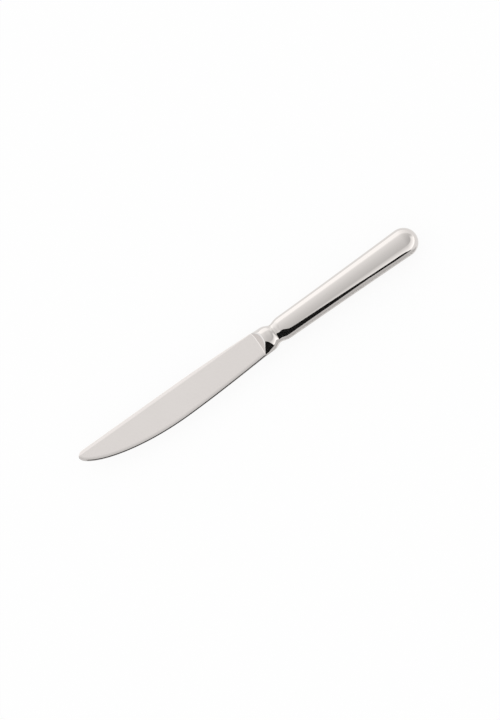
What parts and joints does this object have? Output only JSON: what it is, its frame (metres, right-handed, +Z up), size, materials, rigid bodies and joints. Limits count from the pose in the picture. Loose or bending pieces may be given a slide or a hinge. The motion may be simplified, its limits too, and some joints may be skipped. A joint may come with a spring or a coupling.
{
  "type": "salad knife",
  "caption": "Polished steel table knife with a slim upswept blade, an oval bolster that narrows to a neck, and a round-ended hollow handle.",
  "frame": {"origin": "centre of the bottom of the bounding box, with the knife lying on its side", "axes": "+X along the knife from the tip to the end of the handle, +Y from the cutting edge to the spine, +Z up out of the blade's flat side"},
  "size_m": [0.21, 0.019, 0.0132],
  "materials": {
    "blade_steel": "fine polish",
    "handle_steel": "mirror polish",
    "braze": "polished flush",
    "cement": "matte"
  },
  "bodies": {
    "root": {"blade": "blade_steel", "upper_handle_shell": "handle_steel", "lower_handle_shell": "handle_steel", "seam_braze": "braze", "neck_braze": "braze", "handle_cement": "cement"}
  },
  "joints": []
}
